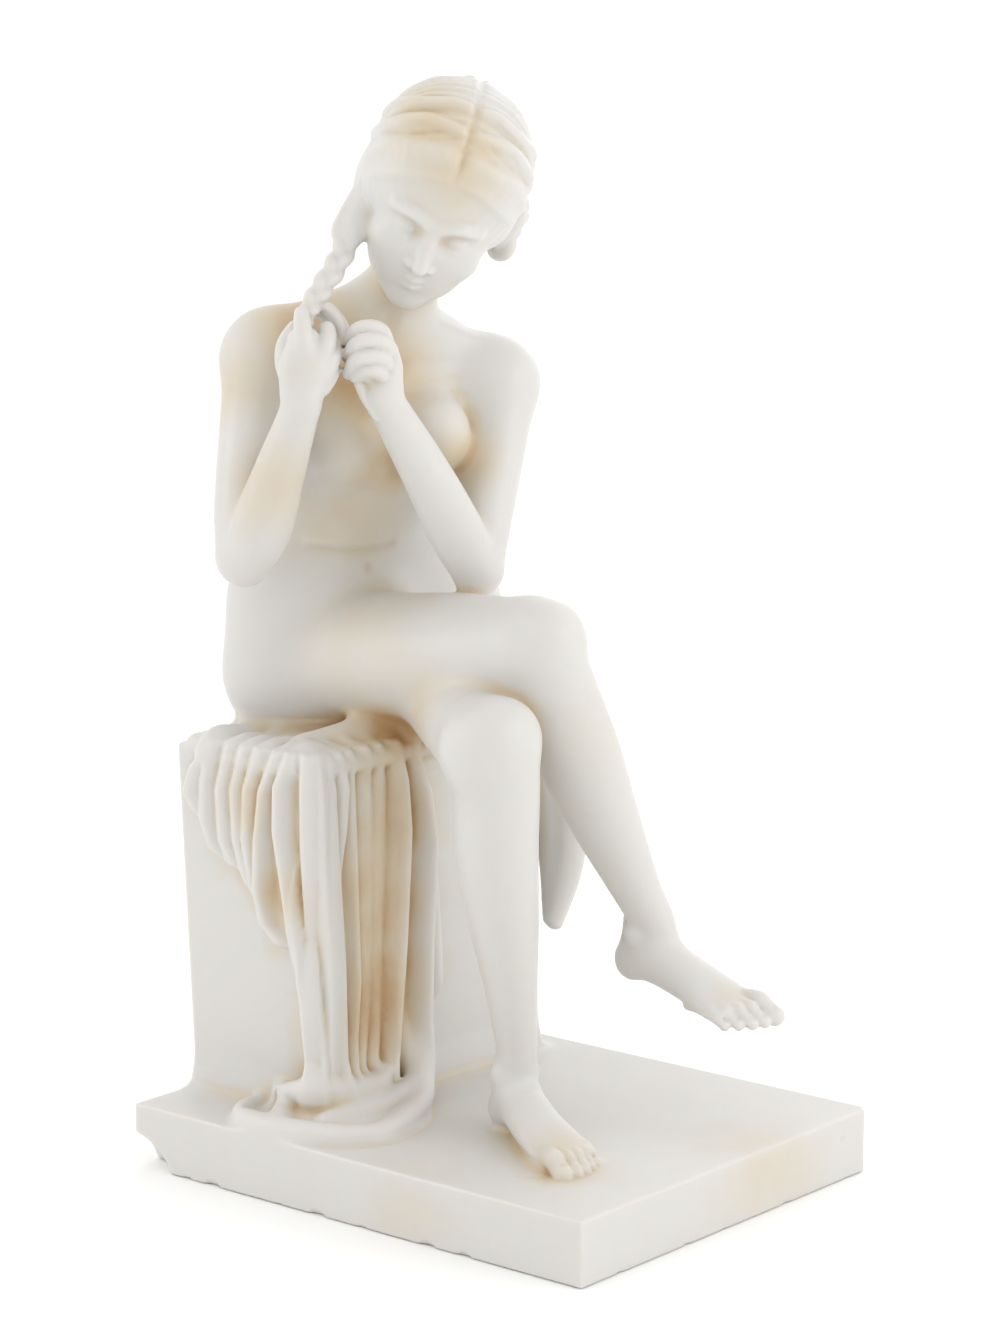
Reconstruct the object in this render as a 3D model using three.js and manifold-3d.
// Seated figure plaiting its hair, on a draped block, carved with its plinth from one piece of marble.
// Millimetres, Z up. The origin is the middle of the underside, and the figure looks toward -Y.

import * as THREE from "three";
import { mergeVertices } from "three/addons/utils/BufferGeometryUtils.js";
import Module from "manifold-3d";

const PLINTH = [320, 400, 45];
const SEAT = 298;
const BLOCK = { foot: [14, 135], footHalf: [117, 62.5], top: [8, 135], topHalf: [124, 63] };
const BACK = 199.4;
const CORNER_BREAK = { centre: [-170, 206, -14], radii: [34, 46, 40] };
const SINK = 1;
const CELL = 4.5;
const FACETS = 9400;
const MARBLE = { colour: 0xf1ece3, roughness: 0.38, metalness: 0 };

// Vectors

const add = (a, b) => a.map((value, i) => value + b[i]);
const sub = (a, b) => a.map((value, i) => value - b[i]);
const mul = (a, s) => a.map((value) => value * s);
const dot = (a, b) => a[0] * b[0] + a[1] * b[1] + a[2] * b[2];
const len = (a) => Math.hypot(a[0], a[1], a[2]);
const unit = (a) => mul(a, 1 / len(a));
const mix = (a, b, t) => a.map((value, i) => value + (b[i] - value) * t);
const cross = (a, b) => [
  a[1] * b[2] - a[2] * b[1],
  a[2] * b[0] - a[0] * b[2],
  a[0] * b[1] - a[1] * b[0],
];

// A frame turned by yaw about Z, then pitched forward and rolled; x is the figure's left, -y is forward
function frame(origin, yaw, pitch, roll) {
  const turn = new THREE.Euler(
    THREE.MathUtils.degToRad(pitch),
    THREE.MathUtils.degToRad(roll),
    THREE.MathUtils.degToRad(yaw),
    "ZXY",
  );
  const m = new THREE.Matrix4().makeRotationFromEuler(turn).elements;
  return {
    origin,
    axes: [[m[0], m[1], m[2]], [m[4], m[5], m[6]], [m[8], m[9], m[10]]],
  };
}

const UPRIGHT = frame([0, 0, 0], 0, 0, 0);

function at(f, p) {
  return [0, 1, 2].map(
    (i) => f.origin[i] + f.axes[0][i] * p[0] + f.axes[1][i] * p[1] + f.axes[2][i] * p[2],
  );
}

// Smooth curve through the given rows, cut into even steps between each pair
function curve(rows, steps) {
  const out = [];
  for (let i = 0; i < rows.length - 1; i++) {
    const p0 = rows[Math.max(i - 1, 0)];
    const p1 = rows[i];
    const p2 = rows[i + 1];
    const p3 = rows[Math.min(i + 2, rows.length - 1)];
    for (let s = 0; s < steps; s++) {
      const t = s / steps;
      out.push(p1.map((_, k) => {
        const a = 2 * p1[k];
        const b = p2[k] - p0[k];
        const c = 2 * p0[k] - 5 * p1[k] + 4 * p2[k] - p3[k];
        const d = 3 * p1[k] - p0[k] - 3 * p2[k] + p3[k];
        return 0.5 * (a + b * t + c * t * t + d * t * t * t);
      }));
    }
  }
  out.push(rows[rows.length - 1].slice());
  return out;
}

// Stone: a field of signed distances on a grid, built up and cut back stroke by stroke

const FAR = 60;

class Stone {
  constructor(low, high, cell) {
    this.low = low;
    this.cell = cell;
    this.count = low.map((value, i) => Math.ceil((high[i] - value) / cell) + 1);
    this.field = new Float32Array(this.count[0] * this.count[1] * this.count[2]).fill(FAR);
  }

  visit(low, high, change) {
    const [nx, ny] = this.count;
    const first = low.map((v, i) => Math.max(0, Math.ceil((v - this.low[i]) / this.cell)));
    const last = high.map((v, i) => Math.min(this.count[i] - 1, Math.floor((v - this.low[i]) / this.cell)));
    for (let k = first[2]; k <= last[2]; k++) {
      for (let j = first[1]; j <= last[1]; j++) {
        for (let i = first[0]; i <= last[0]; i++) {
          const at = (k * ny + j) * nx + i;
          this.field[at] = change(
            this.field[at],
            this.low[0] + i * this.cell,
            this.low[1] + j * this.cell,
            this.low[2] + k * this.cell,
          );
        }
      }
    }
  }

  put(form, blend) {
    const reach = blend + this.cell * 2;
    const margin = [reach, reach, reach];
    this.visit(sub(form.low, margin), add(form.high, margin), (old, x, y, z) => {
      const now = form.distance(x, y, z);
      const h = Math.max(blend - Math.abs(old - now), 0) / Math.max(blend, 1e-6);
      return Math.min(old, now) - h * h * blend / 4;
    });
  }

  cut(form, blend) {
    const reach = blend + this.cell * 2;
    const margin = [reach, reach, reach];
    this.visit(sub(form.low, margin), add(form.high, margin), (old, x, y, z) => {
      const now = -form.distance(x, y, z);
      const h = Math.max(blend - Math.abs(old - now), 0) / Math.max(blend, 1e-6);
      return Math.max(old, now) + h * h * blend / 4;
    });
  }
}

// Forms

function ball(centre, radii, f = UPRIGHT) {
  const [ax, ay, az] = f.axes;
  const reach = [0, 1, 2].map((i) => Math.hypot(ax[i] * radii[0], ay[i] * radii[1], az[i] * radii[2]));
  return {
    low: sub(centre, reach),
    high: add(centre, reach),
    distance(x, y, z) {
      const p = [x - centre[0], y - centre[1], z - centre[2]];
      const u = dot(p, ax) / radii[0];
      const v = dot(p, ay) / radii[1];
      const w = dot(p, az) / radii[2];
      const outer = Math.hypot(u, v, w);
      const inner = Math.hypot(u / radii[0], v / radii[1], w / radii[2]);
      return inner < 1e-9 ? -Math.min(...radii) : outer * (outer - 1) / inner;
    },
  };
}

// A limb: rows of x, y, z, half width along the side direction, half depth
function limb(rows, side, steps = 4) {
  const path = curve(rows, steps);
  const parts = [];
  for (let i = 0; i < path.length - 1; i++) {
    const a = path[i];
    const b = path[i + 1];
    const along = sub(b.slice(0, 3), a.slice(0, 3));
    const size = len(along);
    if (size < 1e-6) continue;
    const axis = mul(along, 1 / size);
    const depth = unit(cross(axis, side));
    const width = cross(depth, axis);
    parts.push({ a, b, axis, size, depth, width });
  }
  const reach = path.map((p) => Math.max(p[3], p[4]));
  return {
    low: [0, 1, 2].map((i) => Math.min(...path.map((p, n) => p[i] - reach[n]))),
    high: [0, 1, 2].map((i) => Math.max(...path.map((p, n) => p[i] + reach[n]))),
    distance(x, y, z) {
      let best = null;
      let nearest = 1e12;
      for (const part of parts) {
        const p = [x - part.a[0], y - part.a[1], z - part.a[2]];
        const along = dot(p, part.axis);
        const t = Math.min(Math.max(along / part.size, 0), 1);
        const u = dot(p, part.width);
        const v = dot(p, part.depth);
        const w = along - t * part.size;
        const far = u * u + v * v + w * w;
        if (far < nearest) {
          nearest = far;
          best = [part, t, u, v, w];
        }
      }
      const [part, t, u, v, w] = best;
      const rw = part.a[3] + (part.b[3] - part.a[3]) * t;
      const rd = part.a[4] + (part.b[4] - part.a[4]) * t;
      const ra = Math.min(rw, rd);
      const outer = Math.hypot(u / rw, v / rd, w / ra);
      const inner = Math.hypot(u / (rw * rw), v / (rd * rd), w / (ra * ra));
      return inner < 1e-9 ? -ra : outer * (outer - 1) / inner;
    },
  };
}

// A round cord: rows of x, y, z, radius
function cord(rows, steps = 4) {
  return limb(rows.map((r) => [r[0], r[1], r[2], r[3], r[3]]), [0.31, 0.17, 0.93], steps);
}

// Distance to a block from the distances to its three pairs of faces
function rounded(u, v, w) {
  return Math.hypot(Math.max(u, 0), Math.max(v, 0), Math.max(w, 0)) + Math.min(Math.max(u, v, w), 0);
}

// A block with rounded edges
function slab(centre, half, round, f = UPRIGHT) {
  const [ax, ay, az] = f.axes;
  const reach = [0, 1, 2].map(
    (i) => Math.abs(ax[i]) * half[0] + Math.abs(ay[i]) * half[1] + Math.abs(az[i]) * half[2],
  );
  return {
    low: sub(centre, reach),
    high: add(centre, reach),
    distance(x, y, z) {
      const p = [x - centre[0], y - centre[1], z - centre[2]];
      const u = Math.abs(dot(p, ax)) - half[0] + round;
      const v = Math.abs(dot(p, ay)) - half[1] + round;
      const w = Math.abs(dot(p, az)) - half[2] + round;
      return rounded(u, v, w) - round;
    },
  };
}

// A block that narrows or widens between its bottom and its top
function taper(low, lowHalf, high, highHalf, round) {
  const reach = Math.max(lowHalf[0], highHalf[0]);
  const depth = Math.max(lowHalf[1], highHalf[1]);
  return {
    low: [Math.min(low[0], high[0]) - reach, Math.min(low[1], high[1]) - depth, low[2]],
    high: [Math.max(low[0], high[0]) + reach, Math.max(low[1], high[1]) + depth, high[2]],
    distance(x, y, z) {
      const t = Math.min(Math.max((z - low[2]) / (high[2] - low[2]), 0), 1);
      const half = [0, 1].map((i) => lowHalf[i] + (highHalf[i] - lowHalf[i]) * t - round);
      const u = Math.abs(x - low[0] - (high[0] - low[0]) * t) - half[0];
      const v = Math.abs(y - low[1] - (high[1] - low[1]) * t) - half[1];
      const w = Math.abs(z - (low[2] + high[2]) / 2) - (high[2] - low[2]) / 2 + round;
      return rounded(u, v, w) - round;
    },
  };
}

// Row at a height, from rows that start with their heights and go down
function level(rows, z) {
  const last = rows[rows.length - 1];
  if (z >= rows[0][0]) return rows[0];
  if (z <= last[0]) return last;
  const n = rows.findIndex((row) => row[0] < z);
  const above = rows[n - 1];
  const t = (above[0] - z) / (above[0] - rows[n][0]);
  return above.map((value, i) => value + (rows[n][i] - value) * t);
}

function softMax(a, b, k) {
  const h = Math.max(k - Math.abs(a - b), 0) / k;
  return Math.max(a, b) + h * h * (k / 4);
}

// Cloth hanging on a plan line between two edges, thicker along its folds
function cloth(line, edge, folds, thick) {
  const reach = 26;
  const depth = 20;
  const fade = 12;
  const high = edge[0][0];
  const low = edge[edge.length - 1][0];
  const xs = line.map((p) => p[0]);
  const ys = line.map((p) => p[1]);
  const parts = [];
  let before = 0;
  for (let i = 0; i < line.length - 1; i++) {
    const [x, y] = line[i];
    const size = Math.hypot(line[i + 1][0] - x, line[i + 1][1] - y);
    parts.push({ x, y, size, before, along: [(line[i + 1][0] - x) / size, (line[i + 1][1] - y) / size] });
    before += size;
  }
  const place = (x, y) => {
    let best = Infinity;
    let found = [0, 0];
    for (const part of parts) {
      const u = (x - part.x) * part.along[0] + (y - part.y) * part.along[1];
      const t = Math.min(Math.max(u, 0), part.size);
      const dx = x - part.x - part.along[0] * t;
      const dy = y - part.y - part.along[1] * t;
      const far = Math.hypot(dx, dy);
      if (far < best) {
        best = far;
        const side = dx * part.along[1] - dy * part.along[0];
        found = [part.before + t, side > 0 ? far : -far];
      }
    }
    return found;
  };
  const slices = new Map();
  const slice = (z) => {
    if (!slices.has(z)) {
      const crests = folds.map((rows) => {
        const [, middle, rise, half] = level(rows, z);
        const under = rows[rows.length - 1][0] - z;
        return [middle, rise * Math.max(0, 1 - Math.max(under, 0) / fade), half];
      });
      slices.set(z, { edges: level(edge, z), crests });
    }
    return slices.get(z);
  };
  return {
    low: [Math.min(...xs) - reach, Math.min(...ys) - reach, low],
    high: [Math.max(...xs) + reach, Math.max(...ys) + reach, high],
    distance(x, y, z) {
      const [s, out] = place(x, y);
      const { edges, crests } = slice(z);
      let rise = 0;
      for (const [middle, up, half] of crests) {
        const u = Math.min(Math.abs(s - middle) / (half * 1.5), 1);
        rise = Math.max(rise, up * (0.5 + 0.5 * Math.cos(Math.PI * u)));
      }
      const inside = Math.max(edges[1] - s, s - edges[2], low - z, z - high, -out - depth);
      return softMax(out - thick - rise, inside, 5);
    },
  };
}

// Skin of the field: one point in every cell the surface crosses, joined across the grid's edges

const CORNERS = [[0, 0, 0], [1, 0, 0], [0, 1, 0], [1, 1, 0], [0, 0, 1], [1, 0, 1], [0, 1, 1], [1, 1, 1]];
const EDGES = [
  [0, 1], [2, 3], [4, 5], [6, 7],
  [0, 2], [1, 3], [4, 6], [5, 7],
  [0, 4], [1, 5], [2, 6], [3, 7],
];

// Fills the pinholes where two bodies would touch only along an edge or at a point
function seal(stone) {
  const [nx, ny, nz] = stone.count;
  const field = stone.field;
  const steps = [1, nx, nx * ny];
  let filled = 1;
  while (filled > 0) {
    filled = 0;
    for (let k = 0; k < nz - 1; k++) {
      for (let j = 0; j < ny - 1; j++) {
        for (let i = 0; i < nx - 1; i++) {
          const n = (k * ny + j) * nx + i;
          for (const [u, v] of [[0, 1], [1, 2], [0, 2]]) {
            const ring = [n, n + steps[u], n + steps[u] + steps[v], n + steps[v]];
            const within = ring.map((m) => field[m] < 0);
            if (within[0] !== within[2] || within[1] !== within[3] || within[0] === within[1]) continue;
            const open = ring.filter((m) => field[m] >= 0);
            field[field[open[0]] < field[open[1]] ? open[0] : open[1]] = -0.02;
            filled++;
          }
          const corners = CORNERS.map(([a, b, c]) => n + a * steps[0] + b * steps[1] + c * steps[2]);
          const open = corners.filter((m) => field[m] >= 0);
          if (open.length !== 2) continue;
          if (corners.indexOf(open[0]) + corners.indexOf(open[1]) !== 7) continue;
          field[open[0]] = -0.02;
          filled++;
        }
      }
    }
  }
}

function skin(stone) {
  seal(stone);
  const [nx, ny, nz] = stone.count;
  const field = stone.field;
  const steps = [1, nx, nx * ny];
  const points = [];
  const faces = [];
  const cells = new Int32Array(field.length).fill(-1);
  for (let k = 0; k < nz - 1; k++) {
    for (let j = 0; j < ny - 1; j++) {
      for (let i = 0; i < nx - 1; i++) {
        const n = (k * ny + j) * nx + i;
        const sum = [0, 0, 0];
        let count = 0;
        for (const [a, b] of EDGES) {
          const p = CORNERS[a];
          const q = CORNERS[b];
          const fa = field[n + p[0] * steps[0] + p[1] * steps[1] + p[2] * steps[2]];
          const fb = field[n + q[0] * steps[0] + q[1] * steps[1] + q[2] * steps[2]];
          if ((fa < 0) === (fb < 0)) continue;
          const t = fa / (fa - fb);
          for (let c = 0; c < 3; c++) sum[c] += p[c] + (q[c] - p[c]) * t;
          count++;
        }
        if (count === 0) continue;
        cells[n] = points.length / 3;
        points.push(
          stone.low[0] + stone.cell * (i + sum[0] / count),
          stone.low[1] + stone.cell * (j + sum[1] / count),
          stone.low[2] + stone.cell * (k + sum[2] / count),
        );
      }
    }
  }
  const corner = (n) => points.slice(n * 3, n * 3 + 3);
  for (let k = 1; k < nz - 1; k++) {
    for (let j = 1; j < ny - 1; j++) {
      for (let i = 1; i < nx - 1; i++) {
        const n = (k * ny + j) * nx + i;
        for (let axis = 0; axis < 3; axis++) {
          const within = field[n] < 0;
          if (within === (field[n + steps[axis]] < 0)) continue;
          const u = steps[(axis + 1) % 3];
          const v = steps[(axis + 2) % 3];
          let ring = [cells[n - u - v], cells[n - v], cells[n], cells[n - u]];
          if (!within) ring = ring.reverse();
          const [p, q, r, s] = ring.map(corner);
          const short = len(sub(p, r)) < len(sub(q, s));
          if (!short) ring = [ring[1], ring[2], ring[3], ring[0]];
          faces.push([ring[0], ring[1], ring[2]], [ring[0], ring[2], ring[3]]);
        }
      }
    }
  }
  return { points, faces };
}

// Largest connected body of the skin
function largest(mesh) {
  const parent = Array.from({ length: mesh.points.length / 3 }, (_, i) => i);
  const find = (n) => {
    let root = n;
    while (parent[root] !== root) root = parent[root];
    while (parent[n] !== root) [parent[n], n] = [root, parent[n]];
    return root;
  };
  for (const [a, b, c] of mesh.faces) {
    parent[find(a)] = find(b);
    parent[find(b)] = find(c);
  }
  const sizes = new Map();
  for (const [a] of mesh.faces) {
    const root = find(a);
    sizes.set(root, (sizes.get(root) ?? 0) + 1);
  }
  const main = [...sizes.entries()].sort((a, b) => b[1] - a[1])[0][0];
  return { points: mesh.points, faces: mesh.faces.filter(([a]) => find(a) === main) };
}

// Facets: edges are drawn together, cheapest first, until few enough triangles are left

class Queue {
  constructor() {
    this.items = [];
  }

  push(item) {
    const items = this.items;
    let n = items.push(item) - 1;
    while (n > 0) {
      const up = (n - 1) >> 1;
      if (items[up].cost <= items[n].cost) break;
      [items[up], items[n]] = [items[n], items[up]];
      n = up;
    }
  }

  pop() {
    const items = this.items;
    const first = items[0];
    const last = items.pop();
    if (items.length > 0) {
      items[0] = last;
      let n = 0;
      for (;;) {
        let low = n;
        const left = n * 2 + 1;
        if (left < items.length && items[left].cost < items[low].cost) low = left;
        if (left + 1 < items.length && items[left + 1].cost < items[low].cost) low = left + 1;
        if (low === n) break;
        [items[low], items[n]] = [items[n], items[low]];
        n = low;
      }
    }
    return first;
  }
}

function facets(mesh, wanted) {
  const points = Float64Array.from(mesh.points);
  const faces = mesh.faces.map((f) => f.slice());
  const count = points.length / 3;
  const around = Array.from({ length: count }, () => new Set());
  const errors = new Float64Array(count * 10);
  const age = new Int32Array(count);
  const spot = (n) => [points[n * 3], points[n * 3 + 1], points[n * 3 + 2]];
  const normalOf = (a, b, c) => cross(sub(b, a), sub(c, a));

  faces.forEach((face, index) => {
    const [a, b, c] = face.map(spot);
    const normal = normalOf(a, b, c);
    const size = len(normal);
    for (const n of face) around[n].add(index);
    if (size < 1e-9) return;
    const [x, y, z] = mul(normal, 1 / size);
    const w = -dot([x, y, z], a);
    const row = [x * x, x * y, x * z, x * w, y * y, y * z, y * w, z * z, z * w, w * w];
    for (const n of face) {
      for (let i = 0; i < 10; i++) errors[n * 10 + i] += row[i] * size;
    }
  });

  const costAt = (q, [x, y, z]) =>
    q[0] * x * x + 2 * q[1] * x * y + 2 * q[2] * x * z + 2 * q[3] * x + q[4] * y * y +
    2 * q[5] * y * z + 2 * q[6] * y + q[7] * z * z + 2 * q[8] * z + q[9];

  function plan(a, b) {
    const q = Array.from({ length: 10 }, (_, i) => errors[a * 10 + i] + errors[b * 10 + i]);
    const pa = spot(a);
    const pb = spot(b);
    const middle = mix(pa, pb, 0.5);
    const choices = [pa, pb, middle];
    const det = q[0] * (q[4] * q[7] - q[5] * q[5]) - q[1] * (q[1] * q[7] - q[5] * q[2]) +
      q[2] * (q[1] * q[5] - q[4] * q[2]);
    const edge = len(sub(pa, pb));
    if (Math.abs(det) > 1e-6 * Math.pow(q[0] + q[4] + q[7], 3)) {
      const solve = (r0, r1, r2) => r0[0] * (r1[1] * r2[2] - r1[2] * r2[1]) -
        r0[1] * (r1[0] * r2[2] - r1[2] * r2[0]) + r0[2] * (r1[0] * r2[1] - r1[1] * r2[0]);
      const best = [
        solve([-q[3], q[1], q[2]], [-q[6], q[4], q[5]], [-q[8], q[5], q[7]]) / det,
        solve([q[0], -q[3], q[2]], [q[1], -q[6], q[5]], [q[2], -q[8], q[7]]) / det,
        solve([q[0], q[1], -q[3]], [q[1], q[4], -q[6]], [q[2], q[5], -q[8]]) / det,
      ];
      if (len(sub(best, middle)) < edge * 1.5) choices.push(best);
    }
    let pick = choices[0];
    let cost = Infinity;
    for (const choice of choices) {
      const c = costAt(q, choice);
      if (c < cost) {
        cost = c;
        pick = choice;
      }
    }
    return { a, b, ageA: age[a], ageB: age[b], cost: Math.max(cost, 0) + edge * edge * 1e-4, spot: pick };
  }

  const neighbours = (n) => {
    const out = new Set();
    for (const f of around[n]) {
      for (const m of faces[f]) {
        if (m !== n) out.add(m);
      }
    }
    return out;
  };

  const flips = (n, other, target) => {
    for (const f of around[n]) {
      const face = faces[f];
      if (face.includes(other)) continue;
      const before = face.map(spot);
      const after = face.map((m) => (m === n ? target : spot(m)));
      const was = normalOf(...before);
      const now = normalOf(...after);
      const size = len(now);
      const shape = (row) => {
        const sides = row.map((point, i) => len(sub(point, row[(i + 1) % 3])));
        const longest = Math.max(...sides);
        return len(normalOf(...row)) / (longest * longest);
      };
      if (size < 1e-4) return true;
      if (dot(was, now) < 0.3 * size * len(was)) return true;
      const after2 = shape(after);
      if (after2 < 0.05 && after2 < shape(before)) return true;
    }
    return false;
  };

  const queue = new Queue();
  for (const [a, b, c] of faces) {
    if (a < b) queue.push(plan(a, b));
    if (b < c) queue.push(plan(b, c));
    if (c < a) queue.push(plan(c, a));
  }
  let left = faces.length;
  while (left > wanted && queue.items.length > 0) {
    const next = queue.pop();
    const { a, b } = next;
    if (age[a] !== next.ageA || age[b] !== next.ageB) continue;
    const ringA = neighbours(a);
    const ringB = neighbours(b);
    if (!ringA.has(b)) continue;
    let shared = 0;
    for (const n of ringA) {
      if (ringB.has(n)) shared++;
    }
    if (shared !== 2) continue;
    if (flips(a, b, next.spot) || flips(b, a, next.spot)) continue;
    for (const f of [...around[b]]) {
      const face = faces[f];
      if (face.includes(a)) {
        for (const n of face) around[n].delete(f);
        faces[f] = null;
        left--;
      } else {
        face[face.indexOf(b)] = a;
        around[a].add(f);
      }
    }
    around[b].clear();
    points.set(next.spot, a * 3);
    for (let i = 0; i < 10; i++) errors[a * 10 + i] += errors[b * 10 + i];
    age[a]++;
    age[b] = -1;
    for (const n of neighbours(a)) queue.push(plan(a, n));
  }

  const renamed = new Map();
  const out = { points: [], faces: [] };
  for (const face of faces) {
    if (!face) continue;
    out.faces.push(face.map((n) => {
      if (!renamed.has(n)) {
        renamed.set(n, out.points.length / 3);
        out.points.push(...spot(n));
      }
      return renamed.get(n);
    }));
  }
  return out;
}

// Places of the joints and turns of the body

const PELVIS = frame([32, 141, 350], -23, 6, -4);
const CHEST = frame([-20, 105, 512], -33, 20, 2);
const HEAD = frame([-29, 30, 674], -57, 30, 24);
const FOOT_L = frame([-44, -50, 92], -24, 0, 0);
const FOOT_R = frame([43, -94, 183], -5, 6, -10);

// Seat block, flaring a little where it meets the plinth
function block(stone) {
  const low = PLINTH[2] - 5;
  const { foot, footHalf, top, topHalf } = BLOCK;
  const core = (PLINTH[2] - SINK - 6) / 2;
  stone.put(slab([0, 0, 6 + core], [PLINTH[0] / 2 - 4, PLINTH[1] / 2 - 4, core], 2), 0);
  stone.put(taper([...foot, low], footHalf, [...top, SEAT - 2], topHalf, 4), 6);
  stone.put(taper([...foot, low], [121, 64], [...foot, low + 22], [112, 58], 4), 16);
}

// Plan line that the cloth hangs on, from the back of the side face round the corner to the front face
const HANG = [
  [-117, 200],
  [-117, 78],
  [-115.5, 70],
  [-109, 66],
  [30, 66],
];

// Each fold of the cloth has rows of height, place along the plan line, rise and half width
const SIDE_FOLDS = [
  [[298, 37, 4, 12], [279, 23, 5, 12], [264, 18, 5, 10], [250, 25, 3, 8]],
  [[300, 45, 6, 8], [274, 37, 7, 8], [246, 36, 7, 8], [226, 42, 4, 7]],
  [[300, 61, 7, 8], [269, 52, 8, 8], [234, 54, 7, 8], [220, 60, 4, 7]],
  [[302, 75, 7, 8], [271, 66, 8, 8], [236, 68, 8, 8], [208, 75, 5, 7]],
  [[303, 90, 8, 9], [273, 79, 9, 8], [238, 77, 9, 8], [204, 81, 5, 7]],
  [
    [304, 107, 8, 9],
    [275, 95, 11, 8],
    [239, 90, 11, 8],
    [204, 88, 10, 8],
    [182, 92, 8, 8],
    [171, 102, 5, 9],
  ],
];
const SIDE_EDGE = [
  [304, 40, 134],
  [282, 20, 134],
  [264, 13, 134],
  [253, 18, 134],
  [244, 30, 134],
  [228, 34, 134],
  [219, 48, 134],
  [214, 66, 134],
  [204, 74, 134],
  [190, 82, 134],
  [176, 88, 134],
  [168, 97, 130],
  [165, 109, 124],
];
const LONG_FOLDS = [
  [
    [300, 118, 9, 9],
    [281, 112, 14, 9],
    [250, 111, 14, 9],
    [212, 118, 14, 8],
    [172, 125, 14, 8],
    [92, 134, 13, 8],
    [64, 132, 15, 10],
  ],
  [
    [302, 132, 9, 9],
    [282, 133, 14, 9],
    [240, 133, 13, 9],
    [162, 138, 14, 8],
    [92, 141, 15, 9],
    [64, 146, 18, 10],
  ],
  [[302, 145, 9, 8], [280, 148, 12, 7], [250, 148, 9, 7], [210, 143, 5, 7], [180, 140, 2, 6]],
  [
    [302, 155, 9, 7],
    [270, 158, 8, 6],
    [227, 161, 7, 5],
    [142, 163, 8, 5],
    [100, 158, 9, 6],
    [64, 154, 14, 9],
  ],
  [
    [302, 171, 10, 8],
    [274, 174, 8, 8],
    [231, 178, 4, 8],
    [133, 176, 4, 8],
    [84, 166, 8, 8],
    [64, 164, 12, 9],
  ],
  [
    [302, 185, 9, 7],
    [274, 190, 6, 8],
    [231, 192, 3, 8],
    [133, 189, 4, 7],
    [84, 180, 7, 8],
    [64, 176, 11, 9],
  ],
  [
    [300, 201, 11, 9],
    [275, 208, 12, 8],
    [239, 211, 11, 8],
    [162, 205, 12, 7],
    [84, 198, 12, 8],
    [64, 192, 15, 9],
  ],
  [[296, 219, 10, 9], [264, 231, 13, 8], [228, 236, 14, 7], [157, 231, 14, 7], [72, 227, 15, 9]],
];
const LONG_EDGE = [
  [305, 114, 218],
  [281, 105, 239],
  [250, 104, 243],
  [212, 111, 242],
  [172, 118, 238],
  [134, 126, 237],
  [90, 128, 236],
  [56, 122, 238],
];
const FRONT_EDGE = [
  [300, 225, 234],
  [270, 225, 243],
  [218, 225, 251],
  [166, 225, 258],
  [130, 225, 260],
  [110, 228, 256],
  [100, 232, 246],
];

function drapery(stone) {
  // cloth laid over the seat
  stone.put(slab([14, 122, SEAT - 3], [131, 68, 8], 7), 5);
  stone.put(cloth(HANG, SIDE_EDGE, SIDE_FOLDS, 2.5), 2);
  stone.put(cloth(HANG, FRONT_EDGE, [[[290, 238, 2, 9], [218, 246, 4, 9], [120, 252, 4, 9]]], 2), 2);
  stone.put(cloth(HANG, LONG_EDGE, LONG_FOLDS, 3), 3);
  // folds of the fall turning out on the base
  stone.put(cord([
    [-106, 110, 58, 6],
    [-120, 92, 64, 7],
    [-124, 66, 72, 8],
    [-106, 54, 70, 8],
    [-78, 50, 68, 8],
    [-58, 56, 72, 7],
  ]), 7);
  // heap on the base
  stone.put(ball([-94, 66, 44], [56, 58, 17]), 8);
  stone.put(ball([-88, 62, 54], [34, 26, 18]), 8);
  stone.put(cord([
    [-98, 130, 46, 6],
    [-126, 124, 48, 7],
    [-144, 110, 49, 8],
    [-151, 88, 50, 8],
    [-150, 60, 51, 8],
    [-144, 36, 51, 8],
    [-130, 18, 50, 8],
    [-108, 10, 50, 8],
    [-78, 18, 52, 9],
    [-48, 34, 55, 10],
    [-28, 50, 66, 10],
    [-19, 58, 88, 9],
  ]), 7);
  stone.put(cord([
    [-60, 84, 60, 7],
    [-84, 92, 60, 7],
    [-108, 92, 56, 7],
    [-130, 86, 54, 7],
    [-144, 76, 53, 7],
  ]), 6);
  stone.put(cord([
    [-24, 54, 74, 8],
    [-42, 44, 62, 8],
    [-72, 38, 58, 8],
    [-104, 40, 56, 7],
    [-128, 48, 54, 6],
  ]), 5);
  stone.cut(ball([-128, 105, 58], [17, 7, 9], UPRIGHT), 5);
  // end hanging beyond the far side
  for (let i = 0; i < 3; i++) {
    stone.put(limb([
      [136 + i * 3, 92 - i * 14, SEAT - 2, 13, 9],
      [142 + i * 3, 80 - i * 12, SEAT - 50, 12, 8],
      [144, 72 - i * 9, SEAT - 112, 10, 7],
      [136 - i * 4, 66 - i * 5, SEAT - 156, 6, 5],
    ], [0.8, -0.6, 0]), 5);
  }
}

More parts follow.
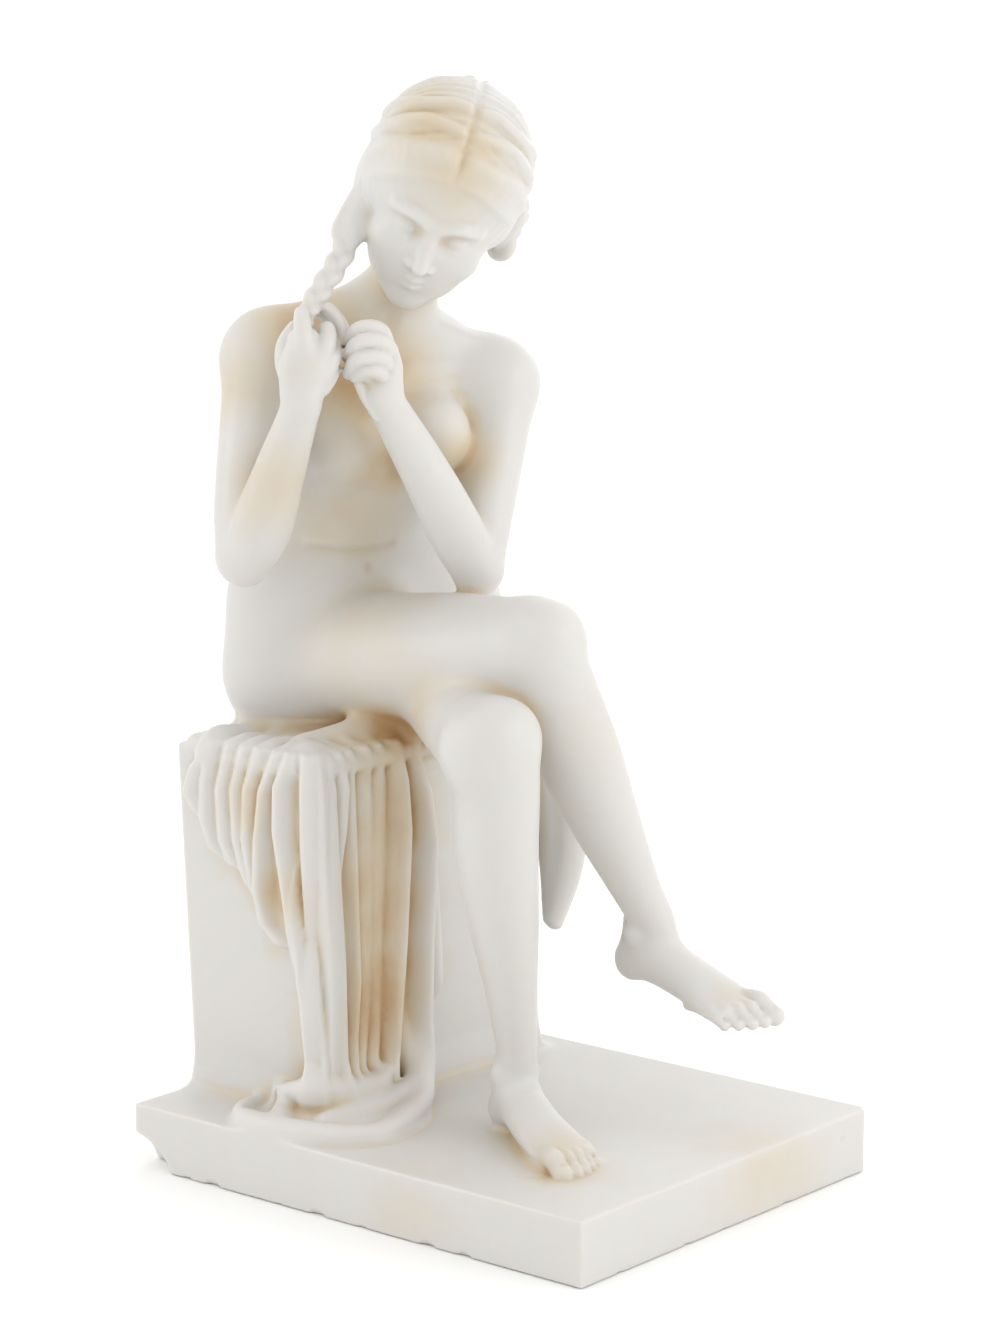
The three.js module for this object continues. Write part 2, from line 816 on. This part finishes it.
function torso(stone) {
  stone.put(limb([
    [34, 138, 322, 84, 50],
    [32, 137, 350, 94, 52],
    [16, 137, 390, 82, 46],
    [-10, 137, 430, 64, 43],
    [-18, 126, 470, 60, 47],
    [-20, 107, 512, 70, 50],
    [-20, 94, 545, 74, 42],
    [-21, 89, 570, 60, 32],
  ], [0.88, -0.47, 0]), 8);
  // seat of the figure
  stone.put(ball([-26, 149, 346], [68, 44, 62], PELVIS), 16);
  stone.put(ball([-29, 145, 394], [65, 42, 58], PELVIS), 18);
  stone.put(ball([80, 140, 344], [56, 50, 56], PELVIS), 16);
  // belly
  stone.put(ball(at(PELVIS, [-22, -24, 44]), [44, 34, 34], PELVIS), 14);
  // chest
  stone.put(ball([-62, 84, 508], [27, 24, 29], CHEST), 15);
  stone.put(ball([-16, 49, 512], [27, 24, 29], CHEST), 15);
  // flank on the raised side
  stone.put(limb([
    [2, 116, 478, 34, 32],
    [26, 122, 446, 36, 34],
    [54, 130, 412, 42, 38],
    [74, 138, 376, 48, 44],
  ], [0.8, -0.5, 0.4]), 20);
  // shoulder blades and the sides below the arms
  stone.put(limb([
    [-84, 132, 560, 22, 24],
    [-70, 138, 532, 24, 22],
    [-54, 138, 490, 24, 20],
  ], [0.9, -0.4, 0]), 18);
  stone.put(limb([
    [40, 54, 542, 22, 24],
    [28, 76, 524, 24, 22],
    [14, 98, 486, 24, 20],
  ], [0.9, -0.4, 0]), 18);
  stone.put(ball([20, 54, 486], [18, 18, 22]), 14);
  // shoulder girdle
  stone.put(limb([
    [-26, 82, 600, 22, 22],
    [-56, 110, 588, 18, 19],
    [-86, 131, 573, 22, 24],
  ], [0, 0, 1]), 18);
  stone.put(limb([[-22, 84, 584, 24, 22], [14, 65, 567, 17, 19], [46, 46, 549, 21, 23]], [0, 0, 1]), 18);
  // neck
  stone.put(limb([
    [-18, 92, 580, 34, 32],
    [-22, 72, 606, 25, 27],
    [-24, 54, 636, 24, 27],
    [-24, 40, 662, 26, 28],
  ], CHEST.axes[0]), 14);
}

function legs(stone) {
  // far leg, standing
  stone.put(limb([
    [76, 124, 346, 46, 46],
    [30, 72, 338, 42, 40],
    [-24, 14, 330, 37, 35],
    [-72, -40, 325, 32, 32],
    [-96, -68, 321, 31, 31],
  ], [0.77, -0.64, 0]), 14);
  stone.put(limb([
    [-94, -70, 326, 31, 30],
    [-88, -70, 296, 28, 29],
    [-79, -62, 250, 27, 30],
    [-67, -58, 200, 23, 26],
    [-54, -55, 140, 16, 18],
    [-46, -52, 104, 13.5, 16],
    [-44, -48, 80, 14, 17],
  ], [0.93, -0.3, 0]), 10);
  stone.put(ball([-98, -82, 332], [24, 18, 24], PELVIS), 12);
  foot(stone, FOOT_L, -1);
  // near leg, crossed over
  stone.put(limb([
    [-18, 156, 344, 50, 48],
    [-28, 84, 358, 45, 43],
    [-38, 8, 371, 40, 39],
    [-46, -44, 380, 34, 34],
    [-48, -66, 382, 32, 33],
  ], [1, 0, 0]), 14);
  stone.put(limb([
    [-48, -67, 384, 31, 31],
    [-34, -74, 352, 28, 30],
    [-12, -76, 308, 27, 31],
    [10, -82, 260, 22, 26],
    [32, -92, 210, 16, 18],
    [44, -99, 182, 14, 16],
    [46, -96, 164, 14, 18],
  ], [0.92, 0, 0.38]), 10);
  stone.put(ball([-48, -86, 390], [22, 14, 22]), 12);
  foot(stone, FOOT_R, 1);
}

// A foot about its ankle; big toe on the side given
function foot(stone, f, side) {
  stone.put(limb([
    [...at(f, [0, 14, -33]), 13, 14],
    [...at(f, [0, -6, -25]), 15, 18],
    [...at(f, [side * 2, -36, -32]), 18, 14],
    [...at(f, [side * 1, -66, -39]), 22, 9],
    [...at(f, [0, -80, -41]), 21, 7.5],
  ], f.axes[0]), 10);
  for (let i = 0; i < 5; i++) {
    const x = side * (16 - i * 8.4);
    const size = i === 0 ? 7.4 : 5.2 - i * 0.2;
    const tip = -99 + [0, 1, 5, 10, 16][i];
    stone.put(cord([
      [...at(f, [x * 0.9, tip + 32, -42]), size],
      [...at(f, [x, tip + 12, -41]), size],
      [...at(f, [x, tip, -45]), size * 0.92],
    ]), 3);
  }
}

function arms(stone) {
  // near arm
  stone.put(ball([-88, 132, 565], [28, 28, 30], CHEST), 20);
  stone.put(limb([
    [-92, 133, 562, 26, 27],
    [-112, 124, 515, 23, 25],
    [-129, 117, 468, 20, 22],
    [-137, 111, 438, 18, 19],
  ], CHEST.axes[0]), 12);
  stone.put(limb([
    [-138, 109, 434, 17, 18],
    [-139, 92, 458, 20, 21],
    [-138, 74, 500, 16.5, 17],
    [-139, 57, 536, 12, 14],
    [-139, 54, 548, 12, 14],
  ], [1, 0, 0]), 5);
  // far arm
  stone.put(ball([46, 46, 542], [27, 28, 30], CHEST), 20);
  stone.put(limb([
    [50, 42, 542, 24, 25],
    [33, 34, 503, 22, 24],
    [6, 20, 456, 19, 20],
    [-11, 11, 425, 17, 18],
  ], CHEST.axes[0]), 12);
  stone.put(limb([
    [-12, 10, 421, 16, 17],
    [-30, 14, 450, 19, 19],
    [-58, 18, 494, 16, 17],
    [-84, 25, 536, 12, 14],
    [-90, 26, 548, 12, 14],
  ], [0.4, -0.5, -0.6]), 5);
}

function hands(stone) {
  // near hand, back outward, thumb behind
  stone.put(limb([
    [-139, 54, 544, 12, 11],
    [-139, 53, 558, 16, 11],
    [-137, 53, 572, 16, 10],
    [-136, 55, 586, 11, 8],
  ], [0.6, -0.8, 0]), 5);
  stone.put(cord([[-140, 52, 580, 7], [-142, 52, 592, 6.5], [-136, 56, 601, 5.5]]), 3);
  stone.put(cord([[-142, 62, 556, 8], [-141, 70, 568, 8], [-137, 72, 581, 6.5], [-132, 68, 592, 5]]), 4);
  stone.put(cord([[-132, 46, 570, 7.5], [-126, 44, 582, 6.5], [-117, 52, 589, 5]]), 3);
  stone.put(cord([[-130, 44, 564, 7.5], [-123, 44, 574, 6.5], [-114, 54, 580, 5]]), 3);
  // far hand, fingers curled round the plait
  stone.put(limb([
    [-91, 25, 544, 12, 11],
    [-90, 26, 558, 14, 10],
    [-90, 27, 570, 15, 9],
    [-88, 29, 580, 13, 8],
  ], [0.64, -0.77, 0]), 5);
  stone.put(cord([[-84, 28, 582, 6.5], [-96, 26, 592, 6], [-108, 30, 593, 5.6], [-108, 41, 583, 5]]), 2.5);
  stone.put(cord([[-86, 26, 575, 6.5], [-101, 22, 584, 6], [-113, 27, 585, 5.6], [-109, 39, 574, 5]]), 2.5);
  stone.put(cord([
    [-88, 26, 567, 6.5],
    [-103, 22, 574, 6],
    [-113, 28, 575, 5.4],
    [-108, 39, 564, 4.8],
  ]), 2.5);
  stone.put(cord([[-90, 26, 560, 6], [-103, 25, 564, 5.4], [-109, 31, 563, 4.8]]), 2.5);
  stone.put(cord([[-80, 34, 562, 7.5], [-84, 44, 573, 6.5], [-93, 48, 584, 5.5]]), 4);
}

function head(stone) {
  const p = (x, y, z) => at(HEAD, [x, y, z]);
  stone.put(ball(p(0, 10, 18), [49, 60, 52], HEAD), 8);
  stone.put(ball(p(0, -16, -14), [40, 42, 50], HEAD), 10);
  stone.put(ball(p(0, -25, -36), [27, 28, 27], HEAD), 10);
  stone.put(ball(p(0, -45, -52), [11, 9, 9], HEAD), 9);
  // nose, brow, lips
  stone.put(cord([[...p(0, -52, 8), 4], [...p(0, -58, -5), 5], [...p(0, -64, -17), 6]]), 7);
  stone.put(ball(p(0, -54, -33), [11, 7, 5], HEAD), 5);
  for (const side of [-1, 1]) {
    stone.cut(ball(p(side * 18, -60, 2), [12, 10, 8], HEAD), 8);
    stone.put(ball(p(side * 18, -46, 1), [9, 7, 6], HEAD), 5);
  }
  // hair
  stone.put(ball(p(0, 15, 20), [54, 62, 55], HEAD), 4);
  for (const side of [-1, 1]) {
    stone.put(limb([
      [...p(side * 6, -34, 46), 14, 6],
      [...p(side * 27, -30, 34), 18, 7],
      [...p(side * 42, -12, 12), 19, 8],
      [...p(side * 45, 18, -10), 20, 11],
    ], HEAD.axes[2]), 12);
    stone.put(ball(p(side * 47, 2, -12), [5, 10, 14], HEAD), 3);
  }
  // nape
  stone.put(ball(p(0, 44, -20), [36, 26, 26], HEAD), 10);
  // coiled plait on the far side
  const beads = 9;
  for (let i = 0; i < beads; i++) {
    const angle = (i / beads) * Math.PI * 2;
    stone.put(ball(
      p(52, 22 + Math.cos(angle) * 15, -20 + Math.sin(angle) * 17),
      [11, 9, 9],
      HEAD,
    ), 4);
  }
  // plait over the near shoulder
  const plait = curve([
    [...p(-44, 14, -14), 12],
    [-79, 66, 652, 11],
    [-93, 62, 633, 10],
    [-112, 64, 614, 9],
    [-123, 63, 602, 8],
  ], 4);
  plait.forEach((row, i) => {
    const swing = i % 2 ? 1 : -1;
    const [x, y, z, size] = row;
    stone.put(ball([x + swing * 3, y - swing * 3, z], [size * 0.8, size * 0.8, size]), 4);
  });
  // loose end running on between the hands
  stone.put(cord([
    [-112, 66, 606, 8],
    [-104, 62, 599, 8],
    [-102, 55, 592, 8],
    [-103, 46, 578, 8],
    [-103, 38, 562, 7],
    [-102, 31, 546, 6],
    [-99, 26, 534, 4],
  ]), 4);
}

// A closed solid from points and faces, and from a three.js geometry

const wasm = await Module();
wasm.setup();

function solid(points, corners) {
  return new wasm.Manifold(new wasm.Mesh({
    numProp: 3,
    vertProperties: Float32Array.from(points),
    triVerts: Uint32Array.from(corners),
  }));
}

function solidOf(geometry) {
  geometry.deleteAttribute("normal");
  geometry.deleteAttribute("uv");
  const merged = mergeVertices(geometry, 1e-4);
  return solid(merged.attributes.position.array, merged.index.array);
}

// The plinth, with its exact flat faces and one broken lower corner
function plinth() {
  const [width, length, height] = PLINTH;
  const outline = new THREE.Shape([
    new THREE.Vector2(-width / 2, -length / 2),
    new THREE.Vector2(width / 2, -length / 2),
    new THREE.Vector2(width / 2, length / 2),
    new THREE.Vector2(-width / 2, length / 2),
  ]);
  const block = solidOf(new THREE.ExtrudeGeometry(outline, { depth: height, bevelEnabled: false }));
  const chip = new THREE.IcosahedronGeometry(1, 3);
  chip.scale(...CORNER_BREAK.radii);
  chip.translate(...CORNER_BREAK.centre);
  return block.subtract(solidOf(chip));
}

function figure() {
  const stone = new Stone([-166, -210, 0], [166, 210, 768], CELL);
  block(stone);
  drapery(stone);
  torso(stone);
  legs(stone);
  arms(stone);
  hands(stone);
  head(stone);
  stone.cut(slab([0, BACK + 40, 400], [220, 40, 420], 0), 2);
  const carved = facets(largest(skin(stone)), FACETS);
  return solid(carved.points, carved.faces.flat());
}

const carving = plinth().add(figure()).getMesh();
const geometry = new THREE.BufferGeometry();
geometry.setAttribute("position", new THREE.BufferAttribute(carving.vertProperties, 3));
geometry.setIndex(new THREE.BufferAttribute(carving.triVerts, 1));
geometry.computeVertexNormals();
const statue = new THREE.Mesh(geometry, new THREE.MeshStandardMaterial({
  color: MARBLE.colour,
  roughness: MARBLE.roughness,
  metalness: MARBLE.metalness,
  flatShading: true,
}));
statue.name = "statue";

const group = new THREE.Group();
group.add(statue);

export default group;
